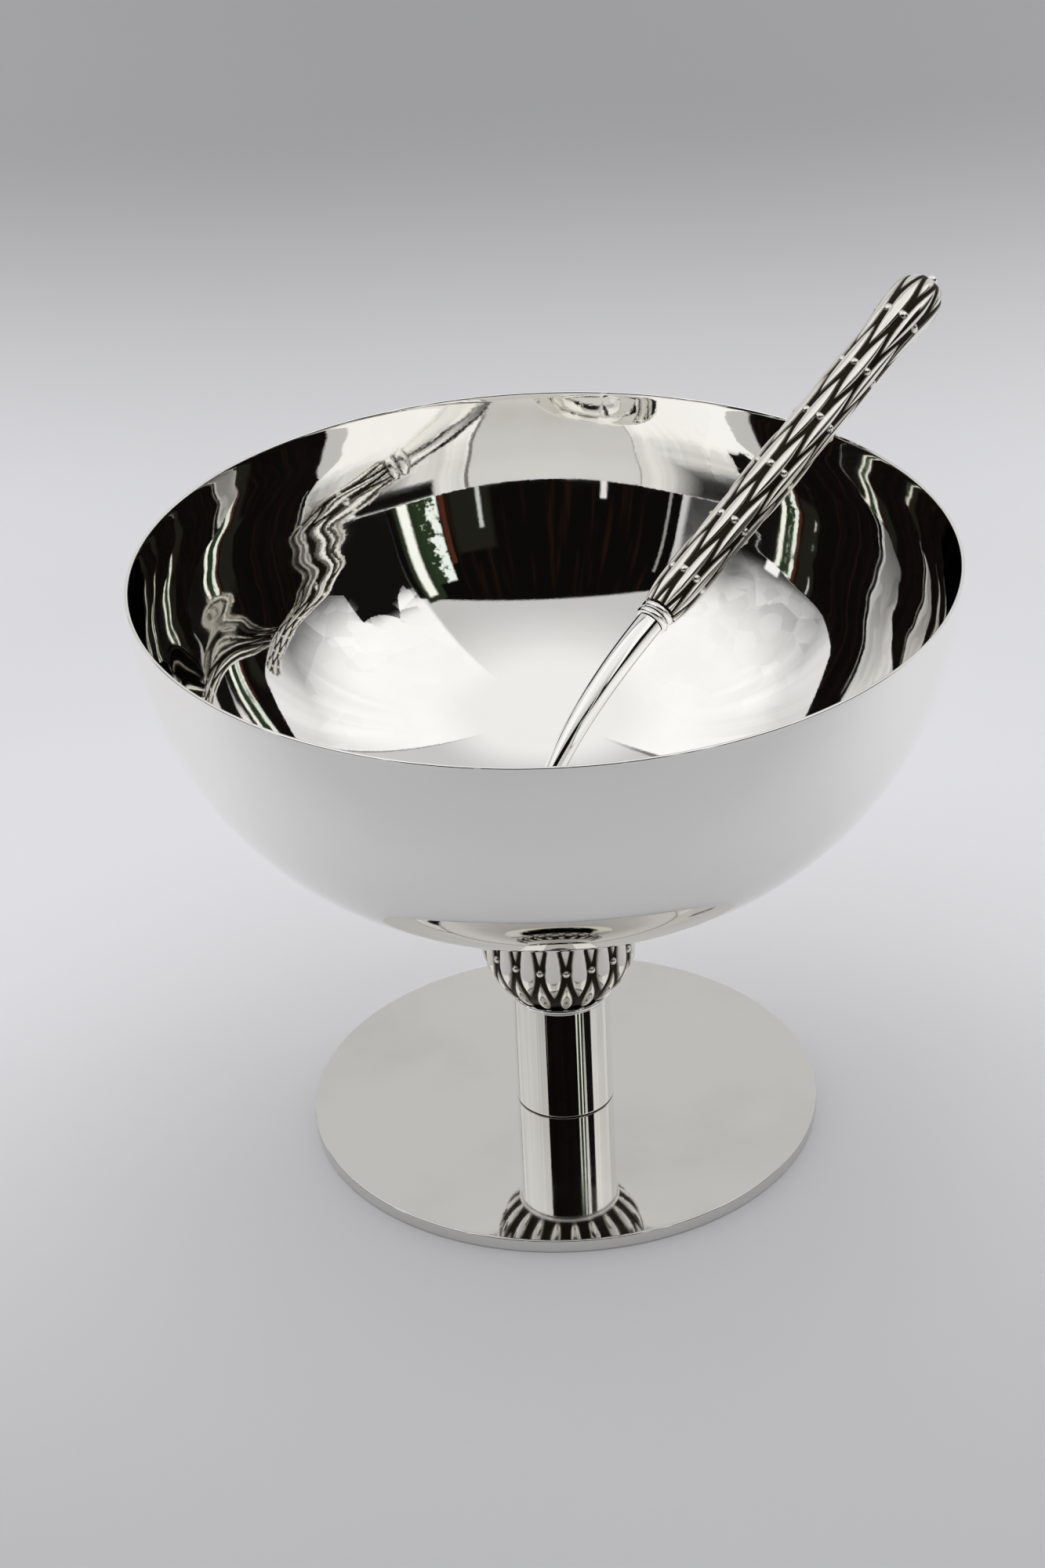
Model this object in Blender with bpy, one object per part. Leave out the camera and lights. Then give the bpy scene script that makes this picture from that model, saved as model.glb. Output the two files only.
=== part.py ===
"""Silver punch bowl on a round foot, with a loose ladle leaning on the rim. Metres, +Z up."""
import math

import bmesh
import bpy
from mathutils import Matrix, Vector

# ---- fits -------------------------------------------------------------------------------------
GAP = 0.0003              # clearance left between two pieces that touch
# ---- bowl -------------------------------------------------------------------------------------
RIM_RADIUS = 0.130        # outside radius of the lip
BOWL_DEPTH = 0.1135       # lip down to the lowest point of the outside
BOWL_CENTRE_RISE = 0.009  # centre of the belly curve above the lip
BOWL_FULLNESS = 2.23      # exponent of the belly curve, 2 is an ellipse
BOWL_WALL = 0.0014        # sheet thickness
LIP_SOFT = 0.0003         # softened edges of the lip
BOWL_ROWS = 11            # facets from the centre of the bowl to its lip
BOWL_SEGMENTS = 64
# ---- pedestal ---------------------------------------------------------------------------------
FOOT_RADIUS = 0.0842      # foot disc
FOOT_THICK = 0.0045
FOOT_EDGE = 0.0005        # softened edge of the disc
STEM_RADIUS = 0.0163      # outside of the stem tube
STEM_WALL = 0.0012
STEM_HEIGHT = 0.0429      # foot disc to the bottom of the leaf collar
NECK_RING_LIP = 0.0008    # plain ring under the collar, past the stem
NECK_RING_THICK = 0.0016
SPIGOT_HEIGHT = 0.0075    # locating block under the stem tube
SPIGOT_FLOOR = 0.0012     # metal under the rod
SPIGOT_CHAMFER = 0.0008
STUD_RADIUS = 0.0030      # tie rod through the stem
STUD_CHAMFER = 0.0005
BOSS_RADIUS = 0.0090      # threaded block under the bowl
BOSS_LENGTH = 0.0260
BOSS_ROOF = 0.0060        # metal between the rod and the top of the block
SEAT_WIDTH = 0.0016       # inner edge of the ring and collar inside the stem bore
# ---- leaf collar ------------------------------------------------------------------------------
COLLAR_HEIGHT = 0.0423    # neck to the lowest point of the bowl
COLLAR_RADIUS = 0.0257    # over the leaves, at the widest
COLLAR_WIDEST = 0.0177    # widest point above the neck
COLLAR_WALL = 0.0034
COLLAR_RELIEF = 0.0014    # leaf crest above the ground
COLLAR_COLUMNS = 36       # leaves and bead columns together
COLLAR_TURN = -5.7        # degrees, first big leaf from the front
# middle above the widest point, half length, half width
BIG_LEAF = (0.0042, 0.0205, 0.00275)
LOW_LEAF = (-0.0090, 0.0088, 0.0020)
HIGH_LEAF = (0.0205, 0.0142, 0.0026)
COLLAR_BEAD = (0.0026, 0.00135)   # middle above the widest point, radius
# ---- ladle ------------------------------------------------------------------------------------
LADLE_HEADING = 48.0      # degrees from +X towards +Y, the way the handle points
LADLE_OFFSET = -0.01266   # ladle plane from the bowl axis
LADLE_SLOPE = 23.83       # degrees, handle above level
CUP_RADIUS = 0.0400       # outside of the cup at its rim
CUP_DEPTH = 0.0330
CUP_WALL = 0.0012
CUP_REACH = 0.0595        # cup centre from the bowl axis, away from the handle
CUP_TILT = 12.0           # degrees, cup mouth tipped towards the handle
SHANK_TOP = 0.0045        # shank radius under the rings
SHANK_FOOT = 0.0025       # shank radius near the cup
SHANK_JOIN = 0.0050       # shank end below the cup rim
SHANK_STEEP = 57.2        # degrees, shank slope where it meets the cup
SHANK_EASE = (0.373, 0.311) # straightness of the shank at its two ends
SHANK_TAPER = 1.8
TANG_RADIUS = 0.0022      # end of the shank held in the handle
TANG_LENGTH = 0.0340
RING_RADIUS = 0.0058      # pair of rings between shank and handle
RING_WIDTH = 0.0024
GRIP_LENGTH = 0.1578      # cast handle
GRIP_OVERHANG = 0.06135   # handle past the rim
GRIP_SCALE = 1.0          # girth of the handle
GRIP_RELIEF = 0.0014
GRIP_COLUMNS = 16
GRIP_TURN = -5.5          # degrees, turns the pattern round the handle
GRIP_PITCH = 0.0246       # rows of beads
GRIP_FIRST = 0.0171       # first row from the middle of the rings
GRIP_LEAF = (0.0162, 0.00168)     # half length, half width
GRIP_LEAF_GIRTH = 0.0072          # handle radius where the leaves have that width
GRIP_BEAD = 0.00125
BUTTON_RADIUS = 0.0019
PEG_RADIUS = 0.0009
PEG_LENGTH = 0.0035

# worked out from the sizes above
NECK_HEIGHT = FOOT_THICK + STEM_HEIGHT                  # bottom of the leaf collar
RIM_HEIGHT = NECK_HEIGHT + COLLAR_HEIGHT + BOWL_DEPTH   # top of the lip

# girth of the handle over the leaves: share of its length, radius
GRIP_GIRTH = [(0.0, 0.0064), (0.04, 0.0069), (0.15, 0.0071), (0.40, 0.0075), (0.62, 0.0074),
              (0.72, 0.0073), (0.80, 0.0075), (0.86, 0.0088), (0.905, 0.0096), (0.94, 0.0095),
              (0.965, 0.0088), (0.985, 0.0071), (0.996, 0.0049), (1.0, 0.0034)]


# ---- building helpers -------------------------------------------------------------------------
def material(name, colour, rough):
    mat = bpy.data.materials.new(name)
    mat.use_nodes = True
    shader = mat.node_tree.nodes["Principled BSDF"]
    shader.inputs["Base Color"].default_value = (colour[0], colour[1], colour[2], 1.0)
    shader.inputs["Metallic"].default_value = 1.0
    shader.inputs["Roughness"].default_value = rough
    return mat


def place(name, bm, colour=(0.80, 0.79, 0.77), rough=0.08, parent=None, frame=None):
    """Turns a bmesh into a named object with its own metal, set by its own matrix."""
    bmesh.ops.recalc_face_normals(bm, faces=bm.faces)
    mesh = bpy.data.meshes.new(name)
    bm.to_mesh(mesh)
    bm.free()
    mesh.shade_smooth()
    mesh.set_sharp_from_angle(angle=math.radians(40.0))
    mesh.materials.append(material(name + "_mat", colour, rough))
    obj = bpy.data.objects.new(name, mesh)
    bpy.context.scene.collection.objects.link(obj)
    obj.parent = parent
    if frame is not None:
        obj.matrix_local = frame
    return obj


def turned(profile, segments, closed=False, start=0.0):
    """Bmesh of a profile of (radius, height) points spun round Z from an angle in degrees."""
    bm = bmesh.new()
    a = math.radians(start)
    line = [bm.verts.new((r * math.cos(a), r * math.sin(a), z)) for r, z in profile]
    edges = [bm.edges.new(pair) for pair in zip(line, line[1:])]
    if closed:
        edges.append(bm.edges.new((line[-1], line[0])))
    bmesh.ops.spin(bm, geom=line + edges, cent=(0.0, 0.0, 0.0), axis=(0.0, 0.0, 1.0),
                   angle=math.tau, steps=segments, use_merge=True)
    bmesh.ops.remove_doubles(bm, verts=bm.verts, dist=0.000001)
    return bm


def emboss(bm, crest, relief, low, high):
    """Moves the vertices of the outer skin between two heights to their ornament radius."""
    for vert in bm.verts:
        r = math.hypot(vert.co.x, vert.co.y)
        z = vert.co.z
        if low < z < high and r > crest(z) - 0.00001:
            turn = math.degrees(math.atan2(vert.co.y, vert.co.x))
            scale = (r - relief(turn, z)) / r
            vert.co.x *= scale
            vert.co.y *= scale


def blend(table, x):
    """Smooth curve through a table of (place, value)."""
    if x <= table[0][0]:
        return table[0][1]
    for i in range(len(table) - 1):
        x0, y0 = table[i]
        x1, y1 = table[i + 1]
        if x <= x1:
            t = (x - x0) / (x1 - x0)
            before = table[max(i - 1, 0)]
            after = table[min(i + 2, len(table) - 1)]
            m0 = (y1 - before[1]) / (x1 - before[0]) * (x1 - x0)
            m1 = (after[1] - y0) / (after[0] - x0) * (x1 - x0)
            return ((2 * t ** 3 - 3 * t ** 2 + 1) * y0 + (t ** 3 - 2 * t ** 2 + t) * m0
                    + (3 * t ** 2 - 2 * t ** 3) * y1 + (t ** 3 - t ** 2) * m1)
    return table[-1][1]


# ---- bowl curve -------------------------------------------------------------------------------
def belly(count):
    """Outside of the bowl from the lowest point to the lip, as (radius, height)."""
    half = BOWL_DEPTH + BOWL_CENTRE_RISE
    share = BOWL_CENTRE_RISE / half
    wide = RIM_RADIUS / (1.0 - share ** BOWL_FULLNESS) ** (1.0 / BOWL_FULLNESS)
    last = math.acos(share ** (BOWL_FULLNESS / 2.0))
    curve = []
    for i in range(count + 1):
        t = last * i / count
        r = wide * math.sin(t) ** (2.0 / BOWL_FULLNESS)
        z = RIM_HEIGHT + BOWL_CENTRE_RISE - half * math.cos(t) ** (2.0 / BOWL_FULLNESS)
        curve.append((r, z))
    return curve


def inset(curve, amount):
    """Curve moved inwards by an amount, square to itself."""
    moved = []
    for i, (r, z) in enumerate(curve):
        r0, z0 = curve[max(i - 1, 0)]
        r1, z1 = curve[min(i + 1, len(curve) - 1)]
        if i == 0:
            moved.append((0.0, z + amount))
            continue
        long = math.hypot(r1 - r0, z1 - z0)
        moved.append((r - amount * (z1 - z0) / long, z + amount * (r1 - r0) / long))
    return moved


def height_on(curve, radius):
    for (r0, z0), (r1, z1) in zip(curve, curve[1:]):
        if radius <= r1:
            return z0 + (z1 - z0) * (radius - r0) / (r1 - r0)
    return curve[-1][1]


BELLY = belly(160)
FLOOR = inset(belly(BOWL_ROWS), BOWL_WALL)
BOWL_BOTTOM = BELLY[0][1]


def floor_height(radius):
    """Height of the bowl's faceted floor, at the middle of a facet, where it stands proudest."""
    return height_on(FLOOR, radius / math.cos(math.pi / BOWL_SEGMENTS))


# ---- relief of leaves and beads ---------------------------------------------------------------
def leaf(along, across, length, width):
    """Rounded pointed leaf, 0 to 1, from distances to its middle."""
    u = abs(along) / length
    if u >= 1.0:
        return 0.0
    w = width * (1.0 - u * u) ** 0.8
    v = abs(across) / w
    if v >= 1.0:
        return 0.0
    return math.sqrt(1.0 - v * v) * (1.0 - u ** 6) ** 0.5


def bead(along, across, radius):
    d = (along * along + across * across) / (radius * radius)
    return math.sqrt(1.0 - d) if d < 1.0 else 0.0


# ---- pedestal pieces --------------------------------------------------------------------------
def make_foot():
    edge = FOOT_EDGE
    shape = [(0.0, 0.0), (FOOT_RADIUS - edge, 0.0), (FOOT_RADIUS, edge),
             (FOOT_RADIUS, FOOT_THICK - edge), (FOOT_RADIUS - edge, FOOT_THICK), (0.0, FOOT_THICK)]
    place("foot_plate", turned(shape, 88), rough=0.05)


def make_spigot():
    low = FOOT_THICK + GAP
    top = low + SPIGOT_HEIGHT
    wide = STEM_RADIUS - STEM_WALL - GAP
    hole = STUD_RADIUS + GAP
    soft = SPIGOT_CHAMFER
    floor = low + SPIGOT_FLOOR
    shape = [(0.0, low), (wide, low), (wide, top - soft), (wide - soft, top), (hole, top),
             (hole, floor), (0.0, floor)]
    place("stem_spigot", turned(shape, 32), rough=0.3)


def make_stem_tube():
    top = NECK_HEIGHT - NECK_RING_THICK - GAP
    low = FOOT_THICK + GAP
    inside = STEM_RADIUS - STEM_WALL
    wall = [(STEM_RADIUS, top), (STEM_RADIUS, low), (inside, low), (inside, top)]
    place("stem_tube", turned(wall, 48, True), rough=0.05)


def make_stud():
    low = FOOT_THICK + GAP + SPIGOT_FLOOR + GAP
    top = BOWL_BOTTOM - BOSS_ROOF - GAP
    soft = STUD_CHAMFER
    shape = [(0.0, low), (STUD_RADIUS - soft, low), (STUD_RADIUS, low + soft),
             (STUD_RADIUS, top - soft), (STUD_RADIUS - soft, top), (0.0, top)]
    place("tie_stud", turned(shape, 20), colour=(0.62, 0.52, 0.32), rough=0.35)


def make_neck_ring():
    top = NECK_HEIGHT
    low = top - NECK_RING_THICK
    bore = STEM_RADIUS - STEM_WALL - SEAT_WIDTH
    soft = NECK_RING_THICK * 0.25
    wide = STEM_RADIUS + NECK_RING_LIP
    edge = [(wide - soft, top), (wide, top - soft), (wide, low + soft), (wide - soft, low)]
    place("neck_ring", turned(edge + [(bore, low), (bore, top)], 48, True))


def collar_crest(z):
    """Radius over the leaves: a quarter ellipse that starts at the stem's radius."""
    drop = NECK_HEIGHT + COLLAR_WIDEST - z
    if drop <= 0.0:
        return COLLAR_RADIUS
    share = drop / COLLAR_WIDEST
    return COLLAR_RADIUS * math.sqrt(1.0 - (1.0 - (STEM_RADIUS / COLLAR_RADIUS) ** 2) * share ** 2)


def collar_depth(turn, z):
    """Depth below the crest; turn in degrees round the collar."""
    step = 360.0 / COLLAR_COLUMNS
    turn -= COLLAR_TURN - 90.0
    column = round(turn / step)
    arc = math.radians(step) * COLLAR_RADIUS
    across = (turn / step - column) * arc
    up = z - NECK_HEIGHT - COLLAR_WIDEST
    best = 0.0
    for shift in (-1, 0, 1):
        off = across - arc * shift
        if (column + shift) % 2 == 0:
            best = max(best, leaf(up - BIG_LEAF[0], off, BIG_LEAF[1], BIG_LEAF[2]))
        else:
            best = max(best, leaf(up - LOW_LEAF[0], off, LOW_LEAF[1], LOW_LEAF[2]))
            best = max(best, leaf(up - HIGH_LEAF[0], off, HIGH_LEAF[1], HIGH_LEAF[2]))
            best = max(best, 0.9 * bead(up - COLLAR_BEAD[0], off, COLLAR_BEAD[1]))
    return COLLAR_RELIEF * (1.0 - best)


def make_collar():
    low = NECK_HEIGHT + GAP
    seat = COLLAR_RADIUS - COLLAR_RELIEF
    top = height_on(BELLY, COLLAR_RADIUS) - GAP * 1.2
    rows = 12
    outer = []
    for i in range(rows + 1):
        z = low + (top - low) * (i / rows) ** 0.9
        outer.append((collar_crest(z), z))
    outer[-1] = (seat, height_on(BELLY, seat) - GAP * 1.2)
    inside = COLLAR_RADIUS - COLLAR_WALL
    bore = STEM_RADIUS - STEM_WALL - SEAT_WIDTH
    step = COLLAR_WIDEST / 3.0
    inner = [(inside, height_on(BELLY, inside) - GAP * 1.2), (inside, low + step * 3.0),
             (inside - SEAT_WIDTH * 2.0, low + step * 1.9), (bore, low + step), (bore, low)]
    bm = turned(outer + inner, COLLAR_COLUMNS * 2, True, COLLAR_TURN - 90.0)
    emboss(bm, collar_crest, collar_depth, low + 0.00001, outer[-2][1] + 0.00001)
    place("leaf_collar", bm, rough=0.2)


def make_bowl_boss():
    top = [(BOSS_RADIUS * i / 4, height_on(BELLY, BOSS_RADIUS * i / 4) - GAP * 1.2) for i in range(5)]
    low = BOWL_BOTTOM - BOSS_LENGTH
    hole = STUD_RADIUS + GAP
    roof = BOWL_BOTTOM - BOSS_ROOF
    tail = [(BOSS_RADIUS, low), (hole, low), (hole, roof), (0.0, roof)]
    place("bowl_boss", turned(top + tail, 28), rough=0.3)


def make_bowl():
    outer = belly(BOWL_ROWS)
    inner = inset(outer, BOWL_WALL)
    outer[-1] = (RIM_RADIUS, RIM_HEIGHT - LIP_SOFT)
    inner[-1] = (RIM_RADIUS - BOWL_WALL, RIM_HEIGHT - LIP_SOFT)
    lip = [(RIM_RADIUS - LIP_SOFT, RIM_HEIGHT), (RIM_RADIUS - BOWL_WALL + LIP_SOFT, RIM_HEIGHT)]
    place("bowl", turned(outer + lip + inner[::-1], BOWL_SEGMENTS), rough=0.05)


# ---- where the ladle lies ---------------------------------------------------------------------
HEAD = math.radians(LADLE_HEADING)
AHEAD = Vector((math.cos(HEAD), math.sin(HEAD), 0.0))
SIDE = Vector((-math.sin(HEAD), math.cos(HEAD), 0.0))
UP = Vector((0.0, 0.0, 1.0))
GRIP_START = RING_WIDTH + GAP * 1.5     # near end of the handle from the middle of the rings
SHANK_SHOULDER = -GRIP_START            # shoulder of the shank under the rings


def in_plane(s, z):
    """Point of the ladle's own upright plane."""
    return AHEAD * s + SIDE * LADLE_OFFSET + UP * z


def axis_frame(origin, direction, across):
    """Matrix whose +Z runs along a direction."""
    z = direction.normalized()
    x = across.normalized()
    y = z.cross(x)
    turn = Matrix((x, y, z)).transposed().to_4x4()
    return Matrix.Translation(origin) @ turn


def grip_crest(far):
    """Radius of the handle over the leaves; far is measured from the middle of the rings."""
    return blend(GRIP_GIRTH, (far - GRIP_START) / GRIP_LENGTH) * GRIP_SCALE


def handle_axis():
    """Middle of the rings and the direction of the handle, resting on the rim."""
    slope = math.radians(LADLE_SLOPE)
    along = (AHEAD * math.cos(slope) + UP * math.sin(slope)).normalized()
    reach = RIM_RADIUS - BOWL_WALL * 0.5
    cross_s = math.sqrt(reach * reach - LADLE_OFFSET * LADLE_OFFSET)
    back = GRIP_START + GRIP_LENGTH - GRIP_OVERHANG
    clear = GAP + max(grip_crest(back + RING_WIDTH * d) for d in range(-2, 3))
    height = RIM_HEIGHT + clear
    lip = [Vector((r * math.cos(a), r * math.sin(a), RIM_HEIGHT))
           for r in (RIM_RADIUS - BOWL_WALL, RIM_RADIUS)
           for a in (HEAD + math.radians(d * 0.25) for d in range(-80, 81))]
    for _ in range(40):
        point = in_plane(cross_s, height)
        near = min((v - point - along * (v - point).dot(along)).length for v in lip)
        height += clear - near
    return in_plane(cross_s, height) - along * back, along


def cup_rest():
    """Middle of the cup's mouth and its axes, just clear of the bowl's floor."""
    tilt = math.radians(CUP_TILT)
    mouth = (UP * math.cos(tilt) + AHEAD * math.sin(tilt)).normalized()
    fore = SIDE.cross(mouth).normalized()
    centre = in_plane(-CUP_REACH, 0.0)
    lift = RIM_HEIGHT
    for i in range(25):
        t = math.pi / 2 * i / 24
        for k in range(48):
            a = math.tau * k / 48
            off = (fore * math.cos(a) + SIDE * math.sin(a)) * CUP_RADIUS * math.cos(t)
            point = centre + off - mouth * CUP_DEPTH * math.sin(t)
            lift = min(lift, point.z - floor_height(math.hypot(point.x, point.y)))
    return centre + UP * (GAP * 1.3 - lift), fore, mouth


RINGS_AT, ALONG = handle_axis()
CUP_AT, CUP_FORE, CUP_UP = cup_rest()
HANDLE = axis_frame(RINGS_AT, ALONG, -SIDE)
TO_HANDLE = HANDLE.inverted()


# ---- ladle pieces, in the frame of the handle ---------------------------------------------------
def make_cup(ladle):
    count = 8
    outer = []
    inner = []
    for i in range(count + 1):
        t = math.pi / 2 * i / count
        outer.append((CUP_RADIUS * math.sin(t), -CUP_DEPTH * math.cos(t)))
        inner.append(((CUP_RADIUS - CUP_WALL) * math.sin(t), -(CUP_DEPTH - CUP_WALL) * math.cos(t)))
    frame = TO_HANDLE @ axis_frame(CUP_AT, CUP_UP, CUP_FORE)
    place("ladle_cup", turned(outer + inner[::-1], 40), rough=0.05, parent=ladle, frame=frame)


def shank_route():
    """Bezier points from the rings to the cup wall."""
    start = RINGS_AT + ALONG * SHANK_SHOULDER
    share = math.sqrt(1.0 - (SHANK_JOIN / CUP_DEPTH) ** 2)
    end = CUP_AT + CUP_FORE * CUP_RADIUS * share - CUP_UP * SHANK_JOIN
    steep = math.radians(SHANK_STEEP)
    down = -(AHEAD * math.cos(steep) + UP * math.sin(steep))
    span = (end - start).length
    return [start, start - ALONG * span * SHANK_EASE[0], end - down * span * SHANK_EASE[1], end]


def bezier(points, t):
    a, b, c, d = points
    u = 1.0 - t
    spot = a * u ** 3 + b * (3 * u * u * t) + c * (3 * u * t * t) + d * t ** 3
    slope = (b - a) * (3 * u * u) + (c - b) * (6 * u * t) + (d - c) * (3 * t * t)
    return spot, slope.normalized()


def make_cup_clearance(ladle):
    """Cutter that trims the shank to the outside of the cup."""
    bm = bmesh.new()
    bmesh.ops.create_uvsphere(bm, u_segments=40, v_segments=20, radius=1.0)
    grow = GAP * 1.4
    wide = CUP_RADIUS + grow
    bm.transform(Matrix.Diagonal((wide, wide, CUP_DEPTH + grow, 1.0)))
    frame = TO_HANDLE @ axis_frame(CUP_AT, CUP_UP, CUP_FORE)
    cutter = place("cup_clearance", bm, parent=ladle, frame=frame)
    cutter.hide_render = True
    cutter.display_type = "WIRE"
    return cutter


def shank_girth(t):
    return SHANK_TOP + (SHANK_FOOT - SHANK_TOP) * t ** SHANK_TAPER


def ring_of(bm, middle, heading, radius, segments):
    across = heading.cross(SIDE).normalized()
    return [bm.verts.new(middle + (SIDE * math.cos(math.tau * k / segments)
                                   + across * math.sin(math.tau * k / segments)) * radius)
            for k in range(segments)]


def make_shank(ladle):
    bm = bmesh.new()
    segments = 16
    steps = 14
    route = shank_route()
    soft = TANG_RADIUS * 0.25
    tip = TANG_LENGTH + SHANK_SHOULDER
    rings = []
    for radius, far in ((TANG_RADIUS - soft, tip), (TANG_RADIUS, tip - soft),
                        (TANG_RADIUS, SHANK_SHOULDER)):
        rings.append(ring_of(bm, RINGS_AT + ALONG * far, -ALONG, radius, segments))
    for i in range(steps + 1):
        spot, heading = bezier(route, i / steps)
        rings.append(ring_of(bm, spot, heading, shank_girth(i / steps), segments))
    sunk = spot + (heading - CUP_FORE).normalized() * SHANK_FOOT * 1.5
    rings.append(ring_of(bm, sunk, heading, SHANK_FOOT, segments))
    for a, b in zip(rings, rings[1:]):
        for k in range(segments):
            m = (k + 1) % segments
            bm.faces.new((a[k], b[k], b[m], a[m]))
    bm.faces.new(rings[0])
    bm.faces.new(rings[-1])
    bm.transform(TO_HANDLE)
    shank = place("ladle_shank", bm, rough=0.06, parent=ladle)
    trim = shank.modifiers.new("trim", "BOOLEAN")
    trim.operation = "DIFFERENCE"
    trim.solver = "EXACT"
    trim.object = make_cup_clearance(ladle)


def make_shank_ring(ladle, name, low):
    bore = TANG_RADIUS + GAP
    high = low + RING_WIDTH
    soft = RING_WIDTH * 0.3
    shape = [(bore, low), (RING_RADIUS - soft, low), (RING_RADIUS - soft * 0.25, low + soft * 0.5),
             (RING_RADIUS, low + RING_WIDTH * 0.5), (RING_RADIUS - soft * 0.25, high - soft * 0.5),
             (RING_RADIUS - soft, high), (bore, high)]
    place(name, turned(shape, 28, True), parent=ladle)


def grip_depth(turn, far):
    """Depth below the crest of the handle."""
    step = 360.0 / GRIP_COLUMNS
    turn -= GRIP_TURN
    column = round(turn / step)
    arc = math.radians(step) * GRIP_LEAF_GIRTH
    best = 0.0
    for shift in (-1, 0, 1):
        off = (turn / step - column - shift) * arc
        first = round((far - GRIP_FIRST) / GRIP_PITCH)
        for row in (first - 1, first, first + 1):
            up = far - GRIP_FIRST - GRIP_PITCH * row
            if (column + shift + row) % 2 == 0:
                best = max(best, leaf(up, off, GRIP_LEAF[0], GRIP_LEAF[1]))
            else:
                best = max(best, 0.95 * bead(up, off, GRIP_BEAD))
    depth = GRIP_RELIEF * min(1.0, grip_crest(far) / GRIP_GIRTH[0][1])
    return depth * (1.0 - best)


def make_grip(ladle):
    segments = GRIP_COLUMNS * 2
    low = GRIP_START
    high = low + GRIP_LENGTH
    bore = TANG_RADIUS + GAP
    deep = TANG_LENGTH + SHANK_SHOULDER + GAP
    hole = PEG_RADIUS + GAP
    rows = 36
    shape = [(0.0, deep), (bore, deep), (bore, low)]
    for i in range(rows + 1):
        share = i / rows
        if share > 0.9:
            share = 0.9 + 0.1 * math.sin((share - 0.9) * 5.0 * math.pi)
        far = low + GRIP_LENGTH * share
        shape.append((grip_crest(far), far))
    shape += [(hole, high), (hole, high - PEG_LENGTH - GAP), (0.0, high - PEG_LENGTH - GAP)]
    bm = turned(shape, segments, start=GRIP_TURN)
    emboss(bm, grip_crest, grip_depth, low - 0.00001, high - 0.00001)
    place("ladle_grip", bm, rough=0.22, parent=ladle)


def make_button(ladle):
    top = GRIP_START + GRIP_LENGTH
    seat = top + GAP
    middle = seat + BUTTON_RADIUS * 0.8
    shape = [(0.0, top - PEG_LENGTH), (PEG_RADIUS, top - PEG_LENGTH), (PEG_RADIUS, seat)]
    for i in range(8):
        t = math.radians(-53.0 + 143.0 * i / 7)
        shape.append((BUTTON_RADIUS * math.cos(t), middle + BUTTON_RADIUS * math.sin(t)))
    shape[-1] = (0.0, middle + BUTTON_RADIUS)
    place("grip_button", turned(shape, 16), rough=0.15, parent=ladle)


def main():
    for obj in list(bpy.data.objects):
        bpy.data.objects.remove(obj)
    make_foot()
    make_spigot()
    make_stem_tube()
    make_stud()
    make_neck_ring()
    make_collar()
    make_bowl_boss()
    make_bowl()
    ladle = bpy.data.objects.new("ladle_lift", None)
    ladle.matrix_world = HANDLE
    bpy.context.scene.collection.objects.link(ladle)
    make_cup(ladle)
    make_shank(ladle)
    make_shank_ring(ladle, "shank_ring_lower", -RING_WIDTH - GAP * 0.5)
    make_shank_ring(ladle, "shank_ring_upper", GAP * 0.5)
    make_grip(ladle)
    make_button(ladle)


main()
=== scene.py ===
"""Looks of the silver punch bowl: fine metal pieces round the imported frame, studio and camera."""
import math

import bmesh
import bpy
import numpy as np
from mathutils import Matrix, Vector


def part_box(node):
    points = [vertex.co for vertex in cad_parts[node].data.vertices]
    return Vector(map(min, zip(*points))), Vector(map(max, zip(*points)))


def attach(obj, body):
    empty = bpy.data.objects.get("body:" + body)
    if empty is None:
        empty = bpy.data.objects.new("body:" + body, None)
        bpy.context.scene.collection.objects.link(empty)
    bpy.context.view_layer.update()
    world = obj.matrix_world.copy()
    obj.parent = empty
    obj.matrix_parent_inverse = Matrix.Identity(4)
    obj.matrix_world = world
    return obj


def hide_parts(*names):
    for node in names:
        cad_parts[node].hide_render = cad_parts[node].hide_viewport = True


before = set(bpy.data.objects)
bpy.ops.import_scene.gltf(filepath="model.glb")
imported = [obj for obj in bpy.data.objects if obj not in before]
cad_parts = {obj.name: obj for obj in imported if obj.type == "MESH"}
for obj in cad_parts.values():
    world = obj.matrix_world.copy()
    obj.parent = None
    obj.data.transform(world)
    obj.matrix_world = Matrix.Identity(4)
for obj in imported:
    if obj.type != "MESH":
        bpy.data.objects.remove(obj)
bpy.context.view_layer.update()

# ---- shape, in metres and degrees ---------------------------------------------------------------
GAP = 0.0003
TOUCH = 0.00001
TINY = 0.000001
BOWL_DEPTH = 0.1135
BOWL_CENTRE_RISE = 0.009
BOWL_FULLNESS = 2.23
BOWL_WALL = 0.0014
LIP_WIDTH = 0.0011
LIP_CLEAR = 0.0002
FOOT_EDGE = 0.0005
STEM_WALL = 0.0012
STEM_EDGE = 0.0002
SEAT_WIDTH = 0.0016
# hand-raised inner wall: height and length of its broad waves and of its fine ones
WAVE = (0.00027, 0.039)
RIPPLE = (0.000008, 0.0085)
# depth below the rim where the broad waves cross their middle, where the fine ones are in full,
# and between which all waves die out
WAVE_START = 0.031
RIPPLE_START = 0.004
WAVES_END = (0.050, 0.082)
# how far the waves wander up and down round the bowl, their turn in radians, and the depth where
# they wander in full
WANDER = (0.0010, 0.7, 0.010)
# the waves sink by this share towards the back, between these two sines of the angle from +X
BACK_SMOOTH = 0.88
SMOOTH_BACK = (0.76, 0.95)
# the waves leave the outer wall and this share of the lip's width as they are
LIP_SHARE = 0.6
COLLAR_RADIUS = 0.0257
COLLAR_WALL = 0.0034
COLLAR_WIDEST = 0.0177
COLLAR_RELIEF = 0.0014
COLLAR_COLUMNS = 36
COLLAR_TURN = -5.7
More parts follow.
